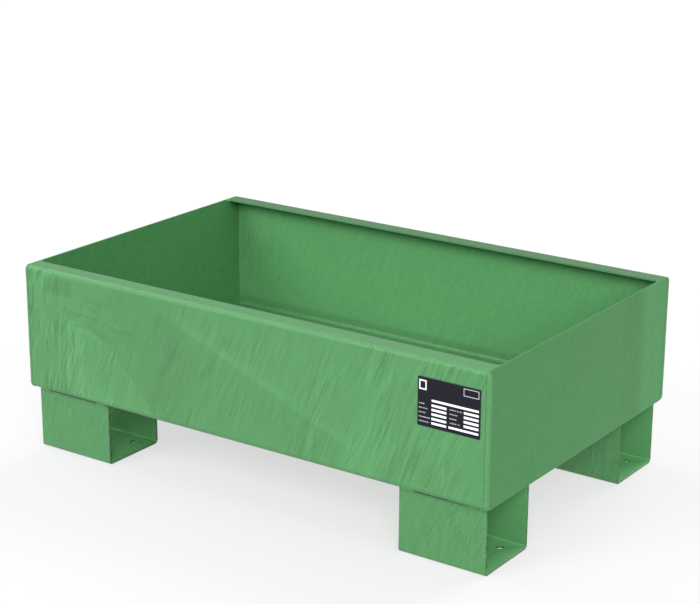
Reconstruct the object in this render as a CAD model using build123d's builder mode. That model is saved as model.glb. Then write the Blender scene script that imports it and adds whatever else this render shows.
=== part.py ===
from build123d import *
import os

# Welded sheet steel sump tray on four folded feet.
# Origin: middle of the footprint, on the surface that the feet stand on.
# +X runs along the long side, +Y towards the back wall, +Z up. Millimetres.

os.makedirs("parts", exist_ok=True)

# ---------------------------------------------------------------- dimensions
tray_length = 800.0        # over the two end plates
tray_width = 510.0         # over the front and back walls
rim_height = 290.0         # standing surface to the rim
foot_height = 98.0         # ground clearance under the tray floor
sheet = 3.0                # tray sheet thickness

rim_flange = 30.0          # inward flange along the front and back rims
rim_bend = 7.0             # outside bend radius, wall to flange
lip_round = 0.8            # paint rounds the flange's free edge
floor_bend = 9.0           # outside bend radius, wall to floor

end_setback = 1.5          # end plate edge, in from the trough's outer face
end_top_radius = 5.5       # end plate corners follow the bends of the trough
end_bottom_radius = 7.5

foot_length = 135.0        # along X
foot_width = 110.0         # over the two webs
foot_sheet = 4.0
foot_bend = 6.0            # outside bend radius, web to sole
foot_end_inset = 7.0       # foot end, in from the end plate's outer face
foot_side_inset = 13.5     # outer web, in from the long wall's outer face

caster_hole = 11.0         # hole diameter in the soles
caster_hole_x = 80.0       # hole pattern of a 105 x 80 mm caster plate
caster_hole_y = 60.0

bead_proud = 0.8           # corner bead height over the long wall
bead_end_proud = 1.3       # corner bead height over the end plate
bead_wall_reach = 2.0      # corner bead lap on the long wall
bead_end_reach = 6.5       # corner bead lap on the end plate
bead_top_angle = 50.0      # how far the corner bead climbs round the rim bend
bottom_bead_proud = 0.3

stitch_down = 6.5          # foot fillet leg on the web
stitch_out = 4.5           # foot fillet leg on the tray floor

tack_leg = 4.5             # rim tack fillet leg

plate_width = 94.5         # rating plate
plate_height = 67.5
plate_thickness = 0.8
plate_corner = 1.5
plate_left = 293.5         # its left edge along X
plate_top = 263.5          # its top edge along Z

# ------------------------------------------------------------ derived values
half_length = tray_length / 2
half_width = tray_width / 2
trough_end = half_length - sheet
lip = half_width - rim_flange
foot_x = half_length - foot_end_inset - foot_length / 2
foot_y = half_width - foot_side_inset - foot_width / 2


# ------------------------------------------------------------- trough sheet
# Flange, front wall, floor, back wall and flange in one folded sheet.
with BuildPart() as trough_sheet:
    with BuildSketch(Plane.YZ.offset(-trough_end)):
        with BuildLine():
            outer_face = FilletPolyline(
                (-lip, rim_height),
                (-half_width, rim_height),
                (-half_width, foot_height),
                (half_width, foot_height),
                (half_width, rim_height),
                (lip, rim_height),
                radius=[rim_bend, floor_bend, floor_bend, rim_bend],
            )
            inner_face = FilletPolyline(
                (-lip, rim_height - sheet),
                (-half_width + sheet, rim_height - sheet),
                (-half_width + sheet, foot_height + sheet),
                (half_width - sheet, foot_height + sheet),
                (half_width - sheet, rim_height - sheet),
                (lip, rim_height - sheet),
                radius=[rim_bend - sheet, floor_bend - sheet, floor_bend - sheet, rim_bend - sheet],
            )
            Line(outer_face @ 0, inner_face @ 0)
            Line(outer_face @ 1, inner_face @ 1)
        make_face()
    extrude(amount=2 * trough_end)
    lip_edges = edges().filter_by(Axis.X).filter_by(lambda e: abs(abs(e.center().Y) - lip) < 0.01)
    fillet(lip_edges, radius=lip_round)

# ---------------------------------------------------------------- end plates
# Flat plates butted on the trough's ends. Their outline is set back a little
# from the trough's outer face, which leaves a groove for the corner beads.
with BuildPart() as right_end_plate:
    with BuildSketch(Plane.YZ.offset(trough_end)):
        with BuildLine():
            FilletPolyline(
                (-half_width + end_setback, rim_height),
                (-half_width + end_setback, foot_height + end_setback),
                (half_width - end_setback, foot_height + end_setback),
                (half_width - end_setback, rim_height),
                radius=[end_top_radius, end_bottom_radius, end_bottom_radius, end_top_radius],
                close=True,
            )
        make_face()
    extrude(amount=sheet)

with BuildPart() as left_end_plate:
    mirror(right_end_plate.part, about=Plane.YZ)

# --------------------------------------------------------------------- feet
# Folded U channels: outer web, sole and inner web, open towards the tray's
# ends. The soles have the four-hole pattern that takes a caster plate.
with BuildPart() as foot_front_right:
    with BuildSketch(Plane.YZ.offset(foot_x - foot_length / 2)):
        with BuildLine():
            outside = FilletPolyline(
                (-foot_y - foot_width / 2, foot_height),
                (-foot_y - foot_width / 2, 0),
                (-foot_y + foot_width / 2, 0),
                (-foot_y + foot_width / 2, foot_height),
                radius=[foot_bend, foot_bend],
            )
            inside = FilletPolyline(
                (-foot_y - foot_width / 2 + foot_sheet, foot_height),
                (-foot_y - foot_width / 2 + foot_sheet, foot_sheet),
                (-foot_y + foot_width / 2 - foot_sheet, foot_sheet),
                (-foot_y + foot_width / 2 - foot_sheet, foot_height),
                radius=[foot_bend - foot_sheet, foot_bend - foot_sheet],
            )
            Line(outside @ 0, inside @ 0)
            Line(outside @ 1, inside @ 1)
        make_face()
    extrude(amount=foot_length)
    with Locations((foot_x, -foot_y, foot_sheet)):
        with GridLocations(caster_hole_x, caster_hole_y, 2, 2):
            Hole(radius=caster_hole / 2, depth=foot_sheet)

with BuildPart() as foot_front_left:
    mirror(foot_front_right.part, about=Plane.YZ)

with BuildPart() as foot_rear_right:
    mirror(foot_front_right.part, about=Plane.XZ)

with BuildPart() as foot_rear_left:
    mirror(foot_front_left.part, about=Plane.XZ)

# ------------------------------------------------------------- corner beads
# Each bead fills the groove between the long wall and the end plate, from
# under the floor bend, up the corner and part of the way round the rim bend.
with BuildPart() as corner_weld_front_right:
    with BuildLine(Plane.YZ.offset(trough_end)) as corner_run:
        CenterArc((-half_width + floor_bend, foot_height + floor_bend), floor_bend, 270, -90)
        Line((-half_width, foot_height + floor_bend), (-half_width, rim_height - rim_bend))
        CenterArc((-half_width + rim_bend, rim_height - rim_bend), rim_bend, 180, -bead_top_angle)
    with BuildSketch(Plane(origin=(trough_end, -half_width + floor_bend, foot_height), x_dir=(1, 0, 0), z_dir=(0, -1, 0))):
        with BuildLine():
            foot_of_bead = Line((0, end_setback), (0, 0))
            lap = Line(foot_of_bead @ 1, (-bead_wall_reach, 0))
            crown = ThreePointArc(lap @ 1, (1.0, -bead_proud), (sheet + 0.9, 1.0))
            cheek = ThreePointArc(crown @ 1, (sheet + bead_end_proud, 3.4), (sheet, bead_end_reach))
            face_of_plate = Line(cheek @ 1, (sheet, end_setback))
            Line(face_of_plate @ 1, foot_of_bead @ 0)
        make_face()
    sweep(path=corner_run.wires()[0])
    add(right_end_plate.part, mode=Mode.SUBTRACT)
    add(trough_sheet.part, mode=Mode.SUBTRACT)

with BuildPart() as corner_weld_front_left:
    mirror(corner_weld_front_right.part, about=Plane.YZ)

with BuildPart() as corner_weld_rear_right:
    mirror(corner_weld_front_right.part, about=Plane.XZ)

with BuildPart() as corner_weld_rear_left:
    mirror(corner_weld_front_left.part, about=Plane.XZ)

# ------------------------------------------------------------- bottom beads
# The same groove along the end plate's bottom edge, closed by a flat bead.
with BuildPart() as bottom_weld_right:
    with BuildSketch(Plane.XZ.offset(-half_width + floor_bend)):
        with BuildLine():
            groove = Polyline(
                (trough_end, foot_height),
                (trough_end, foot_height + end_setback),
                (half_length, foot_height + end_setback),
            )
            ThreePointArc(
                groove @ 1,
                (half_length - 0.9, foot_height - bottom_bead_proud),
                groove @ 0,
            )
        make_face()
    extrude(amount=2 * (half_width - floor_bend))

with BuildPart() as bottom_weld_left:
    mirror(bottom_weld_right.part, about=Plane.YZ)


# --------------------------------------------------------- foot stitch beads
# Fillet beads between a web's face and the underside of the tray floor. Every
# web has a short bead at each end, with the joint left open between them.
foot_near = foot_x - foot_length / 2       # foot end towards the middle
foot_far = foot_x + foot_length / 2        # foot end towards the end plate
outer_web = foot_y + foot_width / 2
inner_web = foot_y - foot_width / 2


def stitch_outline(web_y, outward):
    """Outline of a fillet bead on a web face; outward is the face's Y sense."""
    legs = Polyline(
        (web_y, foot_height - stitch_down),
        (web_y, foot_height),
        (web_y + outward * stitch_out, foot_height),
    )
    ThreePointArc(
        legs @ 1,
        (web_y + outward * (stitch_out / 2 + 0.7), foot_height - stitch_down / 2 - 1.0),
        legs @ 0,
    )


with BuildPart() as foot_weld_front_right_outer:
    for start, end in ((foot_near + 1, foot_near + 27), (foot_far - 65, foot_far - 0.5)):
        with BuildSketch(Plane.YZ.offset(start)):
            with BuildLine():
                stitch_outline(-outer_web, -1)
            make_face()
        extrude(amount=end - start)
    fillet(edges().filter_by(GeomType.CIRCLE), radius=0.8)

with BuildPart() as foot_weld_front_left_outer:
    for start, end in ((-foot_far + 0.5, -foot_far + 22.5), (-foot_near - 23, -foot_near - 1)):
        with BuildSketch(Plane.YZ.offset(start)):
            with BuildLine():
                stitch_outline(-outer_web, -1)
            make_face()
        extrude(amount=end - start)
    fillet(edges().filter_by(GeomType.CIRCLE), radius=0.8)

with BuildPart() as foot_weld_rear_right_outer:
    for start, end in ((foot_near + 1, foot_near + 25), (foot_far - 25, foot_far - 1)):
        with BuildSketch(Plane.YZ.offset(start)):
            with BuildLine():
                stitch_outline(outer_web, 1)
            make_face()
        extrude(amount=end - start)
    fillet(edges().filter_by(GeomType.CIRCLE), radius=0.8)

with BuildPart() as foot_weld_rear_left_outer:
    mirror(foot_weld_rear_right_outer.part, about=Plane.YZ)

with BuildPart() as foot_weld_front_right_inner:
    for start, end in ((foot_near + 1, foot_near + 25), (foot_far - 25, foot_far - 1)):
        with BuildSketch(Plane.YZ.offset(start)):
            with BuildLine():
                stitch_outline(-inner_web, 1)
            make_face()
        extrude(amount=end - start)
    fillet(edges().filter_by(GeomType.CIRCLE), radius=0.8)

with BuildPart() as foot_weld_front_left_inner:
    mirror(foot_weld_front_right_inner.part, about=Plane.YZ)

with BuildPart() as foot_weld_rear_right_inner:
    mirror(foot_weld_front_right_inner.part, about=Plane.XZ)

with BuildPart() as foot_weld_rear_left_inner:
    mirror(foot_weld_front_left_inner.part, about=Plane.XZ)

# ----------------------------------------------------------------- rim tacks
# Small beads in the corner between a flange's free edge and the end plate.
with BuildPart() as rim_tack_front_right:
    with BuildSketch(Plane.XY.offset(rim_height - sheet)):
        with BuildLine():
            corner = Polyline(
                (trough_end - tack_leg, -lip),
                (trough_end, -lip),
                (trough_end, -lip + tack_leg),
            )
            ThreePointArc(
                corner @ 1,
                (trough_end - tack_leg / 2 - 0.4, -lip + tack_leg / 2 + 0.4),
                corner @ 0,
            )
        make_face()
    extrude(amount=sheet)
    fillet(faces().sort_by(Axis.Z)[-1].edges().filter_by(GeomType.CIRCLE), radius=0.8)

with BuildPart() as rim_tack_front_left:
    mirror(rim_tack_front_right.part, about=Plane.YZ)

with BuildPart() as rim_tack_rear_right:
    mirror(rim_tack_front_right.part, about=Plane.XZ)

with BuildPart() as rim_tack_rear_left:
    mirror(rim_tack_front_left.part, about=Plane.XZ)

# -------------------------------------------------------------- rating plate
# Thin plate stuck flat on the front wall, near its right end.
with BuildPart() as rating_plate:
    with BuildSketch(Plane.XZ.offset(half_width)):
        with Locations((plate_left + plate_width / 2, plate_top - plate_height / 2)):
            RectangleRounded(plate_width, plate_height, plate_corner)
    extrude(amount=plate_thickness)

# ------------------------------------------------------------------- export
trough_sheet.part.label = "trough_sheet"
export_step(trough_sheet.part, "parts/trough_sheet.step")
left_end_plate.part.label = "left_end_plate"
export_step(left_end_plate.part, "parts/left_end_plate.step")
right_end_plate.part.label = "right_end_plate"
export_step(right_end_plate.part, "parts/right_end_plate.step")

foot_front_left.part.label = "foot_front_left"
export_step(foot_front_left.part, "parts/foot_front_left.step")
foot_front_right.part.label = "foot_front_right"
export_step(foot_front_right.part, "parts/foot_front_right.step")
foot_rear_left.part.label = "foot_rear_left"
export_step(foot_rear_left.part, "parts/foot_rear_left.step")
foot_rear_right.part.label = "foot_rear_right"
export_step(foot_rear_right.part, "parts/foot_rear_right.step")

corner_weld_front_left.part.label = "corner_weld_front_left"
export_step(corner_weld_front_left.part, "parts/corner_weld_front_left.step")
corner_weld_front_right.part.label = "corner_weld_front_right"
export_step(corner_weld_front_right.part, "parts/corner_weld_front_right.step")
corner_weld_rear_left.part.label = "corner_weld_rear_left"
export_step(corner_weld_rear_left.part, "parts/corner_weld_rear_left.step")
corner_weld_rear_right.part.label = "corner_weld_rear_right"
export_step(corner_weld_rear_right.part, "parts/corner_weld_rear_right.step")

bottom_weld_left.part.label = "bottom_weld_left"
export_step(bottom_weld_left.part, "parts/bottom_weld_left.step")
bottom_weld_right.part.label = "bottom_weld_right"
export_step(bottom_weld_right.part, "parts/bottom_weld_right.step")

foot_weld_front_left_outer.part.label = "foot_weld_front_left_outer"
export_step(foot_weld_front_left_outer.part, "parts/foot_weld_front_left_outer.step")
foot_weld_front_left_inner.part.label = "foot_weld_front_left_inner"
export_step(foot_weld_front_left_inner.part, "parts/foot_weld_front_left_inner.step")
foot_weld_front_right_outer.part.label = "foot_weld_front_right_outer"
export_step(foot_weld_front_right_outer.part, "parts/foot_weld_front_right_outer.step")
foot_weld_front_right_inner.part.label = "foot_weld_front_right_inner"
export_step(foot_weld_front_right_inner.part, "parts/foot_weld_front_right_inner.step")
foot_weld_rear_left_outer.part.label = "foot_weld_rear_left_outer"
export_step(foot_weld_rear_left_outer.part, "parts/foot_weld_rear_left_outer.step")
foot_weld_rear_left_inner.part.label = "foot_weld_rear_left_inner"
export_step(foot_weld_rear_left_inner.part, "parts/foot_weld_rear_left_inner.step")
foot_weld_rear_right_outer.part.label = "foot_weld_rear_right_outer"
export_step(foot_weld_rear_right_outer.part, "parts/foot_weld_rear_right_outer.step")
foot_weld_rear_right_inner.part.label = "foot_weld_rear_right_inner"
export_step(foot_weld_rear_right_inner.part, "parts/foot_weld_rear_right_inner.step")

rim_tack_front_left.part.label = "rim_tack_front_left"
export_step(rim_tack_front_left.part, "parts/rim_tack_front_left.step")
rim_tack_front_right.part.label = "rim_tack_front_right"
export_step(rim_tack_front_right.part, "parts/rim_tack_front_right.step")
rim_tack_rear_left.part.label = "rim_tack_rear_left"
export_step(rim_tack_rear_left.part, "parts/rim_tack_rear_left.step")
rim_tack_rear_right.part.label = "rim_tack_rear_right"
export_step(rim_tack_rear_right.part, "parts/rim_tack_rear_right.step")

rating_plate.part.label = "rating_plate"
export_step(rating_plate.part, "parts/rating_plate.step")
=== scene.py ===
import math

import bpy
import numpy as np
from mathutils import Matrix, Vector


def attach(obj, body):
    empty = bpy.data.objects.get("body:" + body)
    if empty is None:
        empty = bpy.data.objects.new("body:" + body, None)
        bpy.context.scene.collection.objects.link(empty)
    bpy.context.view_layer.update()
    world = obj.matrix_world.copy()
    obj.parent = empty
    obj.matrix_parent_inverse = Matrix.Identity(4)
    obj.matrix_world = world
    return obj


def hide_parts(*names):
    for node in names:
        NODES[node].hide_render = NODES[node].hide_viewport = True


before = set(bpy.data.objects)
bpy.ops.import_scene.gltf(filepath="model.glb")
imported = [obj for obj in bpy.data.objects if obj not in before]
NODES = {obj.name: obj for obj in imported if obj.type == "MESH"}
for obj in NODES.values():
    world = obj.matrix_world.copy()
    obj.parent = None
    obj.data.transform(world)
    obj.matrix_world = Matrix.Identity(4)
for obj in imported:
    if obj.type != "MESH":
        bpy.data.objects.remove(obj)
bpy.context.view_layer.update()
MM = 0.001

# ------------------------------------------------------------------ camera
# Product view from the front right, a little above the rim.
YAW, PITCH, ROLL = math.radians(34.764), math.radians(17.699), math.radians(0.341)
look = Vector((-math.sin(YAW) * math.cos(PITCH), math.cos(YAW) * math.cos(PITCH), -math.sin(PITCH)))
side = look.cross(Vector((0, 0, 1))).normalized()
above = side.cross(look)
right = math.cos(ROLL) * side + math.sin(ROLL) * above
up = -math.sin(ROLL) * side + math.cos(ROLL) * above
cam_data = bpy.data.cameras.new("camera")
cam_data.sensor_width = 36.0
cam_data.lens = 1882.99 / 700 * 36.0
cam_data.clip_start, cam_data.clip_end = 0.05, 60.0
cam = bpy.data.objects.new("camera", cam_data)
cam.matrix_world = Matrix((
    (right.x, up.x, -look.x, 1.51870),
    (right.y, up.y, -look.y, -2.17518),
    (right.z, up.z, -look.z, 1.08797),
    (0, 0, 0, 1),
))
bpy.context.scene.collection.objects.link(cam)
bpy.context.scene.camera = cam
bpy.context.scene.view_settings.view_transform = "Standard"


# ---------------------------------------------------- small node-graph tools
class Graph:
    """Node graph of one material, with plain arithmetic on its sockets."""

    def __init__(self, name):
        self.mat = bpy.data.materials.new(name)
        self.mat.use_nodes = True
        self.nt = self.mat.node_tree
        self.nt.nodes.clear()
        self.out = self.nt.nodes.new("ShaderNodeOutputMaterial")
        self.shader = self.nt.nodes.new("ShaderNodeBsdfPrincipled")
        self.nt.links.new(self.shader.outputs[0], self.out.inputs["Surface"])
        tc = self.nt.nodes.new("ShaderNodeTexCoord")
        scale = self.nt.nodes.new("ShaderNodeVectorMath")
        scale.operation = "MULTIPLY"
        scale.inputs[1].default_value = (1000, 1000, 1000)
        self.nt.links.new(tc.outputs["Object"], scale.inputs[0])
        sep = self.nt.nodes.new("ShaderNodeSeparateXYZ")
        self.nt.links.new(scale.outputs[0], sep.inputs[0])
        self.x, self.y, self.z = (Val(self, sep.outputs[i]) for i in range(3))

    def put(self, value, socket):
        if isinstance(value, Val):
            self.nt.links.new(value.s, socket)
        else:
            socket.default_value = value

    def math(self, op, *args, clamp=False):
        n = self.nt.nodes.new("ShaderNodeMath")
        n.operation = op
        n.use_clamp = clamp
        for i, a in enumerate(args):
            self.put(a, n.inputs[i])
        return Val(self, n.outputs[0])

    def vec(self, x, y, z):
        n = self.nt.nodes.new("ShaderNodeCombineXYZ")
        for i, a in enumerate((x, y, z)):
            self.put(a, n.inputs[i])
        return Val(self, n.outputs[0])

    def noise(self, x, y, z, detail=3.0, rough=0.5, distortion=0.0):
        """Noise from about 0 to 1 with a mean of 0.5; one feature per unit."""
        n = self.nt.nodes.new("ShaderNodeTexNoise")
        n.inputs["Scale"].default_value = 1.0
        n.inputs["Detail"].default_value = detail
        n.inputs["Roughness"].default_value = rough
        n.inputs["Distortion"].default_value = distortion
        self.put(self.vec(x, y, z), n.inputs["Vector"])
        return Val(self, n.outputs[0])

    def step(self, v, lo, hi):
        """Smooth 0 to 1 as v goes from lo to hi; falls if hi is below lo."""
        n = self.nt.nodes.new("ShaderNodeMapRange")
        n.interpolation_type = "SMOOTHSTEP"
        a, b, flip = (lo, hi, False) if hi > lo else (hi, lo, True)
        self.put(v, n.inputs["Value"])
        n.inputs["From Min"].default_value = a
        n.inputs["From Max"].default_value = b
        n.inputs["To Min"].default_value = 1.0 if flip else 0.0
        n.inputs["To Max"].default_value = 0.0 if flip else 1.0
        return Val(self, n.outputs[0])

    def window(self, v, lo, hi, soft):
        return self.step(v, lo - soft, lo + soft) * self.step(v, hi + soft, hi - soft)

    def ellipse(self, u, v, cu, cv, ru, rv, soft=0.35):
        """1 inside the ellipse, fading to 0 across its rim."""
        a, b = (u - cu) / ru, (v - cv) / rv
        return self.step(a * a + b * b, 1 + soft, 1 - soft)

    def colour(self, rgb, factor):
        """rgb times a factor."""
        n = self.nt.nodes.new("ShaderNodeVectorMath")
        n.operation = "SCALE"
        n.inputs[0].default_value = rgb
        self.put(factor, n.inputs["Scale"])
        return Val(self, n.outputs[0])

    def mix(self, a, b, fac):
        n = self.nt.nodes.new("ShaderNodeMix")
        n.data_type = "RGBA"
        for v, s in ((a, n.inputs[6]), (b, n.inputs[7])):
            if isinstance(v, Val):
                self.nt.links.new(v.s, s)
            else:
                s.default_value = (*v, 1.0)
        self.put(fac, n.inputs[0])
        return Val(self, n.outputs[2])

    def bump(self, height, distance, strength=1.0, normal=None):
        n = self.nt.nodes.new("ShaderNodeBump")
        n.inputs["Distance"].default_value = distance
        n.inputs["Strength"].default_value = strength
        self.put(height, n.inputs["Height"])
        if normal is not None:
            self.nt.links.new(normal.s, n.inputs["Normal"])
        return Val(self, n.outputs[0])


class Val:
    def __init__(self, g, s):
        self.g, self.s = g, s

    def __add__(self, o): return self.g.math("ADD", self, o)
    def __radd__(self, o): return self.g.math("ADD", o, self)
    def __sub__(self, o): return self.g.math("SUBTRACT", self, o)
    def __rsub__(self, o): return self.g.math("SUBTRACT", o, self)
    def __mul__(self, o): return self.g.math("MULTIPLY", self, o)
    def __rmul__(self, o): return self.g.math("MULTIPLY", o, self)
    def __truediv__(self, o): return self.g.math("DIVIDE", self, o)


# --------------------------------------------------------------- materials
GREEN = (0.0575, 0.190, 0.0705)     # linear colour of the green enamel


def streaks(g, u, v, lean, seed, across=5.0, along=48.0, wander=9.0):
    """Brushed streaks, lean degrees off the v direction; about -1 to 1."""
    a = math.radians(lean)
    drift = (g.noise(u * 0.012, v * 0.012, seed + 3.1, detail=2) - 0.5) * wander * 2
    s = u * math.cos(a) - v * math.sin(a) + drift
    t = u * math.sin(a) + v * math.cos(a)
    n = g.noise(s * (1 / across), t * (1 / along), seed, detail=3, rough=0.55)
    return (n - 0.5) * 2.6


def creases(g, u, v, lean, seed, across=13.0, along=80.0, wander=14.0, crisp=15.0):
    """Thin raised creases in brushed enamel, lean degrees off the v direction;
    about -1 to 1. Where it goes into the colour, the profile is a painted
    highlight on one flank and painted shade on the other."""
    a = math.radians(lean)
    drift = (g.noise(u * 0.010, v * 0.010, seed + 4.7, detail=2) - 0.5) * wander * 2
    s = u * math.cos(a) - v * math.sin(a) + drift
    t = u * math.sin(a) + v * math.cos(a)
    d = (g.noise(s * (1 / across), t * (1 / along), seed, detail=2, rough=0.45) - 0.5) * crisp
    return d * g.math("EXPONENT", d * d * -1.0) * 2.33


def finish_enamel(g, tone, height, gloss=0.34, sheen_noise=0.10, bump=0.35, base=GREEN, spec=0.22):
    """tone is a brightness offset around 0, height is relief in millimetres."""
    peel = g.noise(g.x * 0.55, g.y * 0.55, g.z * 0.55, detail=2)
    speck = g.noise(g.x * 1.7, g.y * 1.7, g.z * 1.7, detail=1)
    cloud = g.noise(g.x * 0.013, g.y * 0.013, g.z * 0.013, detail=3) - 0.5
    factor = tone + 1.0 + cloud * 0.07 + (speck - 0.5) * 0.035
    warm = g.noise(g.x * 0.021, g.y * 0.021 + 7.0, g.z * 0.021, detail=2)
    col = g.colour(base, factor)
    pale = g.colour((base[0] * 1.12, base[1] * 0.985, base[2] * 1.02), factor)
    g.put(g.mix(col, pale, warm), g.shader.inputs["Base Color"])
    rough = gloss + (g.noise(g.x * 0.03, g.y * 0.03, g.z * 0.03, detail=3) - 0.5) * sheen_noise * 2
    g.put(rough, g.shader.inputs["Roughness"])
    relief = height + (peel - 0.5) * 0.05
    g.put(g.bump(relief, bump * MM * 1.0), g.shader.inputs["Normal"])
    g.shader.inputs["Specular IOR Level"].default_value = spec
    return g.mat


def tray_sheet_paint():
    g = Graph("tray_enamel")
    x, z = g.x, g.z
    p = g.y + g.z                                   # runs along the folded sheet
    front = g.step(g.y, -254.0, -254.8)             # outer face of the front wall
    # Brushed creases: upright at the left end, leaning right further along,
    # nearly level in a patch left of the middle.
    upright = creases(g, x, p, 5, 1.3, across=11, along=140, wander=9, crisp=20)
    leaning = creases(g, x, p, 22, 5.7, across=12, along=170, wander=8, crisp=22)
    level = creases(g, x, p, -74, 9.2, across=9, along=75, crisp=20)
    to_right = g.step(x, -330, -230)
    patch = g.ellipse(x, z, -232, 232, 86, 36, 0.6) * front
    s = upright + (leaning - upright) * to_right
    s = s + (level - s) * patch
    small = creases(g, x, p, 20, 12.9, across=5.2, along=90, wander=5, crisp=14)
    fine = streaks(g, x, p, 22, 14.4, across=1.9, along=34, wander=5)
    curve = z - (228.0 - (x + 310.0) * 0.30 - (x + 310.0) * (x + 310.0) * 0.0032)
    wedge = g.step(curve, 3, -5) * g.window(x, -322, -150, 14)
    cluster = g.step(g.noise(x * 0.014, p * 0.012, 2.0, detail=2), 0.38, 0.60)
    zone = 0.85 + g.step(x, -290, -330) * 0.75 + g.step(x, 110, 230) * 0.38 - patch * 0.05
    relief = (s * 0.92 + small * 0.62) * (zone + wedge * front * 0.55) * (0.35 + cluster * 0.85) + fine * 0.40
    # Broad patches of the front wall.
    # A darker rounded patch, left of the middle.
    darker_round_patch = g.ellipse(x, z, -190, 196, 105, 96, 0.5)
    diag = z - (252.0 - (x + 110.0) * 0.393)         # above 0: over the pale band
    below = g.step(diag, 2, -3) * g.window(x, -150, 190, 30)
    band = g.step(diag, -1, 2) * g.step(diag, 26, 4) * g.window(x, -112, 176, 22)
    fan = g.ellipse(x - (z - 98) * 0.26, z, 196, 122, 28, 90, 0.6)
    smear = g.window(x, -362, -309, 3) * g.window(z, 255, 279, 3)
    # crest: a thin raised line above the bottom bend, with bump in the height and a painted highlight in the tone.
    crest = g.window(z, 108.6, 110.6, 0.7)
    tone = (darker_round_patch * -0.075 + wedge * 0.105 + below * -0.035 + band * 0.075
            + fan * 0.085 + smear * -0.14 + crest * 0.05 + g.step(x, 60, 330) * 0.018)
    # The outer bends get a painted highlight, and the paint is mottled where it was only sprayed.
    outside = g.step(g.math("ABSOLUTE", g.y), 253.2, 254.2)
    painted_highlight_bend = g.window(z, 283.5, 290.5, 1.6) * g.step(g.math("ABSOLUTE", g.y), 245, 249)
    mottle = (g.noise(x * 0.16, g.y * 0.16, z * 0.16, detail=3, rough=0.65) - 0.5) * (1 - outside)
    # Painted shade on the flange tops: a little on the front one, much on the back one.
    painted_shade_rear_lid = g.step(z, 288.8, 289.6) * g.step(g.y, 200, 210)
    # Painted light: the inner face of the back wall is made brighter.
    painted_light_inner_back = g.window(g.y, 251.2, 253.0, 0.3) * g.step(z, 112, 122)
    painted_shade_front_lid = g.step(z, 288.8, 289.6) * g.step(g.y, -200, -210)
    # The crease relief also goes into the tone: a painted highlight on one flank of each crease and painted shade on
    # the other.
    tone = tone * front + painted_shade_front_lid * -0.05 - painted_shade_rear_lid * 0.34 + painted_light_inner_back * 0.22 + relief * (0.040 + outside * 0.055) + painted_highlight_bend * 0.075 + mottle * 0.34
    height = relief * (0.2 + outside * 0.25) + crest * front * 0.3 + mottle * 0.6
    return finish_enamel(g, tone, height)


def end_plate_paint():
    g = Graph("end_enamel")
    y, z = g.y, g.z
    soft = streaks(g, y, z, 62, 3.3, across=16, along=60)
    fine = streaks(g, y, z, 35, 8.8, across=3.0, along=30, wander=4)
    outer = g.step(g.math("ABSOLUTE", g.x), 399.0, 399.8)
    # Painted light on the outer face: paler by the back edge, a little darker from y 124 to 170, and paler towards the
    # bottom and the front.
    pale = g.window(y, 178, 262, 12) * 0.15 - g.window(y, 124, 170, 22) * 0.05
    tone = (pale + g.step(z, 290, 110) * 0.05 + g.step(y, 0, -240) * 0.02) * outer
    mottle = (g.noise(g.x * 0.11, y * 0.11, z * 0.09, detail=3, rough=0.6) - 0.5) * 0.34
    tone = tone + soft * 0.016 + fine * 0.012 + mottle
    return finish_enamel(g, tone, soft * 0.10 + fine * 0.06 + mottle, gloss=0.34, bump=0.16, spec=0.08,
                         base=(0.0415, 0.159, 0.0535))


def foot_paint():
    g = Graph("foot_enamel")
    x = g.x
    p = g.z + g.y
    s = creases(g, x, p, 16, 6.1, across=8, along=42)
    small = creases(g, x, p, 24, 3.9, across=4.5, along=26, wander=5, crisp=11)
    fine = streaks(g, x, p, 24, 11.4, across=2.0, along=24, wander=4)
    cluster = g.step(g.noise(x * 0.020, p * 0.020, 5.0, detail=2), 0.36, 0.62)
    relief = (s * 0.7 + small * 0.45) * (0.45 + cluster * 0.7) + fine * 0.3
    # The cut ends of the channels get a painted highlight, and the top of the web just
    # under the tray floor gets painted shade between the stitches.
    end = g.step(g.math("ABSOLUTE", x), 391.2, 392.4) + g.step(g.math("ABSOLUTE", x), 259.8, 258.6)
    painted_shade_under_tray = g.step(g.z, 92.7, 93.6)
    # Painted light inside the channels: the inner faces are brighter, the fold to the sole gets a painted highlight,
    # and the sole is lighter.
    inside = g.window(g.math("ABSOLUTE", g.y), 135.0, 238.0, 0.4) * g.step(g.z, 3.6, 4.0)
    fold = inside * g.step(g.z, 6.8, 5.6)
    mark = g.ellipse(x, g.z, -336, 69, 2.2, 6.0, 0.7) * g.step(g.y, -241, -241.4)
    speck = (g.noise(x * 0.3, g.y * 0.3, g.z * 0.3, detail=2) - 0.5) * inside
    sole = inside * g.step(g.z, 6.0, 5.0)
    relief = relief * (1 - inside * 0.75)
    # The crease relief goes into the tone too: a painted highlight on one flank of each crease and painted shade on
    # the other.
    tone = relief * 0.085 + end * 0.10 - painted_shade_under_tray * 0.60 + inside * 0.32 + fold * 0.16 + sole * 0.08 + mark * 0.14 + speck * 0.2 - 0.05
    return finish_enamel(g, tone, relief * 0.6, gloss=0.30)


def weld_paint():
    g = Graph("weld_enamel")
    n = g.noise(g.x * 0.35, g.y * 0.35, g.z * 0.35, detail=3, rough=0.6) - 0.5
    pits = g.noise(g.x * 1.1, g.y * 1.1, g.z * 1.1, detail=2) - 0.5
    # Below the tray floor, at the foot stitches and the drips, the tone is raised as a painted highlight.
    return finish_enamel(g, n * 0.36 + 0.02 + g.step(g.z, 98.6, 97.4) * 0.34, n * 0.9 + pits * 0.5, gloss=0.25)


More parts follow.
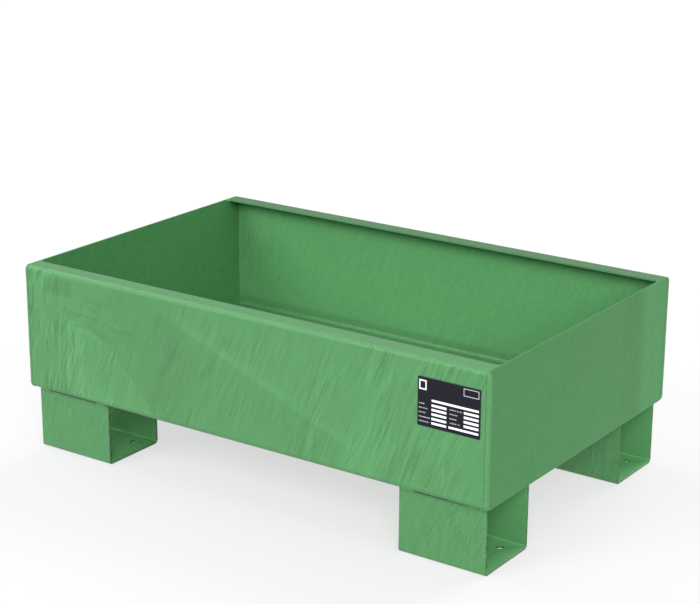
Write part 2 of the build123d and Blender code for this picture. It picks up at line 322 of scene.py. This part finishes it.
def plate_print():
    """Dark printed plate: blank pale fields, thin captions as plain dashes."""
    g = Graph("rating_plate_print")
    u = g.x - 293.5
    v = 263.5 - g.z
    ink = 0.0

    def add_box(u0, u1, v0, v1, soft=0.25):
        return g.window(u, u0, u1, soft) * g.window(v, v0, v1, soft)

    fields = add_box(21.5, 92, 28.4, 31.4)
    for v0, v1 in ((35.1, 37.9), (41.1, 43.9), (47.2, 49.9), (53.4, 56.2), (59.5, 62.2)):
        fields = fields + add_box(21.5, 44, v0 - 0.2, v1 + 0.2)
    for v0, v1 in ((34.7, 37.5), (40.8, 43.6), (46.8, 49.7), (52.8, 55.7)):
        fields = fields + add_box(70, 92, v0 - 0.2, v1 + 0.2)
    fields = fields + add_box(47.5, 92, 59.3, 62.2)
    # Captions: rows of short dashes, broken by noise, with no letters in them.
    dash = g.step(g.noise(u * 0.9, v * 0.05, 4.0, detail=1), 0.40, 0.52)
    caps = add_box(2.0, 10.5, 35.8, 37.2, 0.2)
    for u1, vc in ((15.5, 42.5), (12.0, 48.6), (19.0, 54.8), (18.0, 60.9)):
        caps = caps + add_box(2.0, u1, vc - 0.7, vc + 0.7, 0.2)
    for u1, vc in ((67.5, 36.2), (60.5, 42.2), (59.0, 48.3), (64.0, 54.3)):
        caps = caps + add_box(48.5, u1, vc - 0.7, vc + 0.7, 0.2)
    # Empty frame top right, and a plain empty square top left.
    frame_box = add_box(69.0, 92.0, 2.8, 13.3, 0.2) - add_box(69.9, 91.1, 3.7, 12.4, 0.2)
    bars = add_box(2.0, 13.4, 4.0, 17.6, 0.25) - add_box(4.0, 11.4, 6.0, 15.6, 0.25)
    edge = 1.0 - add_box(0.9, 93.6, 0.9, 66.6, 0.3)
    wear = g.noise(u * 0.5, v * 0.5, 1.0, detail=3)
    pale = g.math("MINIMUM", fields * (0.86 + wear * 0.2) + caps * dash * 0.45 + frame_box * 0.55 + bars * 0.8, 1.0)
    front = g.step(g.y, -255.5, -255.7)
    dark = g.mix((0.005, 0.005, 0.009), (0.010, 0.010, 0.016), wear)
    dark = g.mix(dark, (0.032, 0.036, 0.062), edge * 0.5)
    g.put(g.mix(dark, (0.72, 0.75, 0.76), pale * front), g.shader.inputs["Base Color"])
    g.put(0.30 + wear * 0.12, g.shader.inputs["Roughness"])
    g.put(g.bump(pale * 0.05 + wear * 0.02, 0.1 * MM), g.shader.inputs["Normal"])
    g.shader.inputs["Specular IOR Level"].default_value = 0.12
    return g.mat


MAT_TRAY = tray_sheet_paint()
MAT_END = end_plate_paint()
MAT_FOOT = foot_paint()
MAT_WELD = weld_paint()
MAT_PLATE = plate_print()


def paint(obj, mat):
    obj.data.materials.clear()
    obj.data.materials.append(mat)


for name, obj in NODES.items():
    if name == "trough_sheet":
        paint(obj, MAT_TRAY)
    elif name.endswith("end_plate"):
        paint(obj, MAT_END)
    elif name.startswith("foot_weld") or "weld" in name or "tack" in name:
        paint(obj, MAT_WELD)
    elif name.startswith("foot_"):
        paint(obj, MAT_FOOT)
    else:
        paint(obj, MAT_PLATE)

# Paint rounds the sheared edges of the end plates and the rating plate a little.
for name, width in (("left_end_plate", 0.7), ("right_end_plate", 0.7), ("rating_plate", 0.15)):
    obj = NODES[name]
    join = obj.modifiers.new("join", "WELD")
    join.merge_threshold = 1e-6
    soft = obj.modifiers.new("soft_edge", "BEVEL")
    soft.width = width * MM
    soft.segments = 3
    soft.limit_method = "ANGLE"
    soft.angle_limit = math.radians(50)
    soft.harden_normals = False
    for poly in obj.data.polygons:
        poly.use_smooth = True
    tidy = obj.modifiers.new("tidy_normals", "WEIGHTED_NORMAL")
    tidy.keep_sharp = False
    tidy.weight = 80

trough = NODES["trough_sheet"]
for name in ("trough_sheet", "foot_front_left", "foot_front_right", "foot_rear_left", "foot_rear_right"):
    obj = NODES[name]
    join = obj.modifiers.new("join", "WELD")
    join.merge_threshold = 1e-6
    for poly in obj.data.polygons:
        poly.use_smooth = True
    tidy = obj.modifiers.new("tidy_normals", "WEIGHTED_NORMAL")
    tidy.keep_sharp = True
    tidy.weight = 80

# -------------------------------------------------------------- weld beads
rng = np.random.default_rng(7)


def ripple_run(length, pitch, seed):
    """Positions of the ripple crests along a bead, a little uneven."""
    r = np.random.default_rng(seed)
    at, out = -pitch, []
    while at < length + 2 * pitch:
        at += pitch * (0.78 + 0.44 * r.random())
        out.append(at)
    return np.array(out)


def bead(name, node, path, seed, pitch=2.6, depth=0.28, size=None, base=None, crown=None, root=None, step=0.55, bow=1.3):
    """A rippled weld bead swept along path, in place of a CAD node's solid.

    path(s) gives (origin, outward axis, inward axis) at s mm along it; crown
    is the outer curve of the section and root the point each crown point
    falls back to, both in (outward, inward) mm; base closes the section.
    size(s) is 0 to 1, the bead's build-up at s."""
    length = path("length")
    count = max(8, int(length / step))
    crests = ripple_run(length, pitch, seed)
    r = np.random.default_rng(seed + 100)
    knots = r.random(int(length / 7) + 4)
    verts, faces = [], []
    crown, root = np.array(crown, float), np.array(root, float)
    m = len(crown) + len(base)
    for i in range(count + 1):
        s = length * i / count
        o, ax, ay = path(s)
        k = s / 7
        j = int(k)
        swell = knots[j] + (knots[j + 1] - knots[j]) * (3 * (k - j) ** 2 - 2 * (k - j) ** 3)
        full = 1.0 if size is None else size(s)
        for c in range(len(crown)):
            t = c / (len(crown) - 1)
            lag = bow * (1 - (2 * t - 1) ** 2)
            gap = crests - (s + lag)
            after = gap[gap >= 0][0] if (gap >= 0).any() else pitch
            before = -gap[gap < 0][-1] if (gap < 0).any() else pitch
            f = before / (after + before)
            scallop = 1 - math.sin(math.pi * f) ** 0.6          # 1 in the valley
            fall = depth * scallop + 0.16 * swell
            fall = fall * math.sin(math.pi * min(max(t, 0.02), 0.98)) ** 0.5
            fall = 1 - (1 - fall) * full
            pt = crown[c] + (root[c] - crown[c]) * fall
            verts.append(o + ax * pt[0] * MM + ay * pt[1] * MM)
        for b in base:
            verts.append(o + ax * b[0] * MM + ay * b[1] * MM)
    for i in range(count):
        for c in range(m):
            a, b = i * m + c, i * m + (c + 1) % m
            faces.append((a, b, b + m, a + m))
    faces.append(tuple(reversed(range(m))))
    faces.append(tuple(count * m + c for c in range(m)))
    mesh = bpy.data.meshes.new(name)
    mesh.from_pydata([tuple(v) for v in verts], [], faces)
    mesh.validate()
    obj = bpy.data.objects.new(name, mesh)
    bpy.context.scene.collection.objects.link(obj)
    import bmesh
    bm = bmesh.new()
    bm.from_mesh(mesh)
    bmesh.ops.recalc_face_normals(bm, faces=bm.faces)
    bm.to_mesh(mesh)
    bm.free()
    for poly in mesh.polygons:
        poly.use_smooth = len(poly.vertices) == 4
    paint(obj, MAT_WELD)
    return obj


def arc_pts(a, mid, b, n):
    """n points on the arc from a through mid to b."""
    (x1, y1), (x2, y2), (x3, y3) = a, mid, b
    d = 2 * (x1 * (y2 - y3) + x2 * (y3 - y1) + x3 * (y1 - y2))
    cx = ((x1**2 + y1**2) * (y2 - y3) + (x2**2 + y2**2) * (y3 - y1) + (x3**2 + y3**2) * (y1 - y2)) / d
    cy = ((x1**2 + y1**2) * (x3 - x2) + (x2**2 + y2**2) * (x1 - x3) + (x3**2 + y3**2) * (x2 - x1)) / d
    r = math.hypot(x1 - cx, y1 - cy)
    a0, am, a1 = (math.atan2(py - cy, px - cx) for px, py in (a, mid, b))
    turn = (a1 - a0) % (2 * math.pi)
    if (am - a0) % (2 * math.pi) > turn:
        turn -= 2 * math.pi
    return [(cx + r * math.cos(a0 + turn * i / (n - 1)), cy + r * math.sin(a0 + turn * i / (n - 1))) for i in range(n)]


# Corner beads: the section repeats the CAD section, in (outward x, inward n).
CORNER_CROWN = arc_pts((-2.0, 0.0), (1.0, -0.8), (3.9, 1.0), 7) + arc_pts((3.9, 1.0), (4.3, 3.4), (3.0, 6.5), 7)[1:]
CORNER_ROOT = []
for cx_, cn_ in CORNER_CROWN:
    if cx_ < 0.0:
        CORNER_ROOT.append((cx_, 0.05))
    elif cn_ > 1.5:
        CORNER_ROOT.append((3.05, cn_))
    else:
        CORNER_ROOT.append((1.6, 1.2))
CORNER_ROOT[0], CORNER_ROOT[-1] = CORNER_CROWN[0], CORNER_CROWN[-1]
CORNER_BASE = [(3.0, 1.5), (0.0, 1.5), (0.0, 0.0)]
R_LOW, R_TOP, TOP_ANGLE = 9.0, 7.0, math.radians(50)
LOW_LEN, LINE_LEN, TOP_LEN = R_LOW * math.pi / 2, (290 - 7) - (98 + 9), R_TOP * TOP_ANGLE
CORNER_LEN = LOW_LEN + LINE_LEN + TOP_LEN


def corner_path(sx, sy):
    def at(s):
        if s == "length":
            return CORNER_LEN
        if s < LOW_LEN:
            a = s / R_LOW                                 # from straight down to outward
            y, z = 255 - R_LOW + R_LOW * math.sin(a), 98 + R_LOW - R_LOW * math.cos(a)
            inward = (-math.sin(a), math.cos(a))
        elif s < LOW_LEN + LINE_LEN:
            y, z = 255, 98 + R_LOW + s - LOW_LEN
            inward = (-1.0, 0.0)
        else:
            a = (s - LOW_LEN - LINE_LEN) / R_TOP
            y, z = 255 - R_TOP + R_TOP * math.cos(a), 290 - R_TOP + R_TOP * math.sin(a)
            inward = (-math.cos(a), -math.sin(a))
        return (Vector((sx * 397, sy * y, z)) * MM, Vector((sx, 0, 0)), Vector((0, sy * inward[0], inward[1])))
    return at


def ends_taper(length, run_in, run_out, low=0.35):
    def size(s):
        a = min(1.0, low + (1 - low) * s / run_in) if s < run_in else 1.0
        b = min(1.0, low + (1 - low) * (length - s) / run_out) if length - s < run_out else 1.0
        return min(a, b)
    return size


beads = []
seed = 11
for lr, sx in (("left", -1), ("right", 1)):
    for fr, sy in (("front", -1), ("rear", 1)):
        node = f"corner_weld_{fr}_{lr}"
        b = bead(f"bead_corner_{fr}_{lr}", node, corner_path(sx, sy), seed, pitch=3.2, depth=0.34,
                 size=ends_taper(CORNER_LEN, 5, 2.5, 0.5), crown=CORNER_CROWN, root=CORNER_ROOT, base=CORNER_BASE)
        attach(b, "root"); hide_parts(node)
        beads.append(b)
        seed += 1

# Bottom beads: shallow fill of the groove under each end plate.
BOTTOM_CROWN = arc_pts((3.0, -1.5), (2.1, 0.3), (0.0, 0.0), 7)
BOTTOM_ROOT = [(2.0, -1.2)] * 7
BOTTOM_ROOT[0], BOTTOM_ROOT[-1] = BOTTOM_CROWN[0], BOTTOM_CROWN[-1]


def bottom_path(sx):
    def at(s):
        if s == "length":
            return 492.0
        return Vector((sx * 397, -246 + s, 98)) * MM, Vector((sx, 0, 0)), Vector((0, 0, -1))
    return at


for lr, sx in (("left", -1), ("right", 1)):
    node = f"bottom_weld_{lr}"
    b = bead(f"bead_bottom_{lr}", node, bottom_path(sx), seed, pitch=3.4, depth=0.30,
             crown=BOTTOM_CROWN, root=BOTTOM_ROOT, base=[(0.0, -1.5)], step=0.8)
    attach(b, "root"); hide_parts(node)
    seed += 1

# Foot stitches: fillet beads, in (out from the web, up to the tray floor).
STITCH_CROWN = arc_pts((0.0, -6.5), (2.95, -4.25), (4.5, 0.0), 9)
STITCH_ROOT = [(0.25, -0.3)] * 9


def stitch_path(x0, x1, web_y, out):
    def at(s):
        if s == "length":
            return x1 - x0
        return Vector((x0 + s, web_y, 98)) * MM, Vector((0, out, 0)), Vector((0, 0, 1))
    return at


def front_right_build(x0):
    """The long stitch is thin, with one swell and a heavy end."""
    def size(s):
        x = x0 + s
        v = 0.62 + 0.05 * math.sin(x * 0.9)
        v += 0.33 * math.exp(-((x - 371) / 5.0) ** 2) + 0.38 * math.exp(-((x - 388) / 5.5) ** 2)
        v *= min(1.0, 0.3 + (x - 328) / 5.0)
        return min(1.0, v)
    return size


RUNS = {
    "front_right_outer": (-241.5, -1, ((259, 285), (328, 392.5))),
    "front_left_outer": (-241.5, -1, ((-392.5, -370.5), (-281, -259))),
    "rear_right_outer": (241.5, 1, ((259, 283), (368, 392))),
    "rear_left_outer": (241.5, 1, ((-392, -368), (-283, -259))),
    "front_right_inner": (-131.5, 1, ((259, 283), (368, 392))),
    "front_left_inner": (-131.5, 1, ((-392, -368), (-283, -259))),
    "rear_right_inner": (131.5, -1, ((259, 283), (368, 392))),
    "rear_left_inner": (131.5, -1, ((-392, -368), (-283, -259))),
}
for key, (web_y, out, runs) in RUNS.items():
    node = "foot_weld_" + key
    for i, (x0, x1) in enumerate(runs):
        size = front_right_build(x0) if (key == "front_right_outer" and i == 1) else ends_taper(x1 - x0, 4, 4, 0.45)
        b = bead(f"bead_{key}_{i + 1}", node, stitch_path(x0, x1, web_y, out), seed, pitch=2.7, depth=0.20,
                 size=size, crown=STITCH_CROWN, root=STITCH_ROOT, base=[(0.0, 0.0)], step=0.5)
        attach(b, "root"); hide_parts(node)
        seed += 1

# ------------------------------------------------- spatter and paint drips
def blobs(name, spots, normal, long_axis):
    """Small frozen drops on a face: (centre in mm, width, length, height)."""
    import bmesh
    bm = bmesh.new()
    r = np.random.default_rng(len(name))
    n, t = Vector(normal), Vector(long_axis)
    w = n.cross(t)
    for centre, wide, tall, high in spots:
        made = bmesh.ops.create_icosphere(bm, subdivisions=3, radius=1.0)["verts"]
        a, b = r.random(2) * 6.28
        for v in made:
            c = v.co.copy()
            swell = 1 + 0.10 * math.sin(3 * c.x + a) + 0.08 * math.sin(4 * c.y + b)
            v.co = (Vector(centre) + w * (c.x * wide / 2 * swell) + t * (c.y * tall / 2 * swell)
                    + n * (max(c.z, -0.25) * high)) * MM
    mesh = bpy.data.meshes.new(name)
    bm.to_mesh(mesh)
    bm.free()
    for poly in mesh.polygons:
        poly.use_smooth = True
    obj = bpy.data.objects.new(name, mesh)
    bpy.context.scene.collection.objects.link(obj)
    paint(obj, MAT_WELD)
    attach(obj, "root")
    return obj


blobs("spatter_left_end", (((-397, -68, 276), 2.4, 6.5, 0.6), ((-397, -168, 269), 1.8, 5.5, 0.6),
                           ((-397, -185, 277), 3.2, 3.0, 0.8), ((-397, -81, 244), 3.2, 3.6, 0.8),
                           ((-397, -196, 262), 1.8, 2.0, 0.5), ((-397, 140, 251), 2.2, 2.6, 0.6)),
      (1, 0, 0), (0, 0, 1))
blobs("drips_foot_front_right", (((390.6, -241.5, 38.4), 2.0, 4.2, 0.5), ((390.8, -241.5, 29.6), 2.4, 3.4, 0.6),
                                 ((390.7, -241.5, 50.5), 1.4, 2.4, 0.35)),
      (0, -1, 0), (0, 0, 1))

# ---------------------------------------------------------- floor and light
floor_mesh = bpy.data.meshes.new("studio_floor")
floor_mesh.from_pydata([(-30, -30, 0), (30, -30, 0), (30, 30, 0), (-30, 30, 0)], [], [(0, 1, 2, 3)])
floor = bpy.data.objects.new("studio_floor", floor_mesh)
floor.location.z = -0.0002
bpy.context.scene.collection.objects.link(floor)
fm = bpy.data.materials.new("studio_floor")
fm.use_nodes = True
fb = fm.node_tree.nodes["Principled BSDF"]
fb.inputs["Base Color"].default_value = (0.21, 0.21, 0.21, 1)
fb.inputs["Roughness"].default_value = 0.9
fb.inputs["Specular IOR Level"].default_value = 0.1
fb.inputs["Emission Color"].default_value = (1, 1, 1, 1)
fb.inputs["Emission Strength"].default_value = 0.61
floor.data.materials.append(fm)

world = bpy.data.worlds.new("studio")
world.use_nodes = True
world.node_tree.nodes["Background"].inputs["Color"].default_value = (1, 1, 1, 1)
world.node_tree.nodes["Background"].inputs["Strength"].default_value = 0.54
bpy.context.scene.world = world



def soft_sun(name, strength, angle, towards):
    """A broad, even studio light: towards points from the tray to the light."""
    light = bpy.data.lights.new(name, "SUN")
    light.energy = math.pi * strength
    light.angle = math.radians(angle)
    o = bpy.data.objects.new(name, light)
    o.rotation_mode = "QUATERNION"
    o.rotation_quaternion = (-Vector(towards)).to_track_quat("-Z", "Y")
    bpy.context.scene.collection.objects.link(o)


soft_sun("front_right", 0.93, 30, (0.55, -0.68, 0.48))
soft_sun("front_left", 0.55, 30, (-0.35, -0.80, 0.48))
soft_sun("right", 0.23, 30, (0.88, -0.15, 0.45))
soft_sun("back", 0.60, 40, (0.05, 0.75, 0.66))
soft_sun("left", 0.35, 40, (-0.80, 0.10, 0.60))
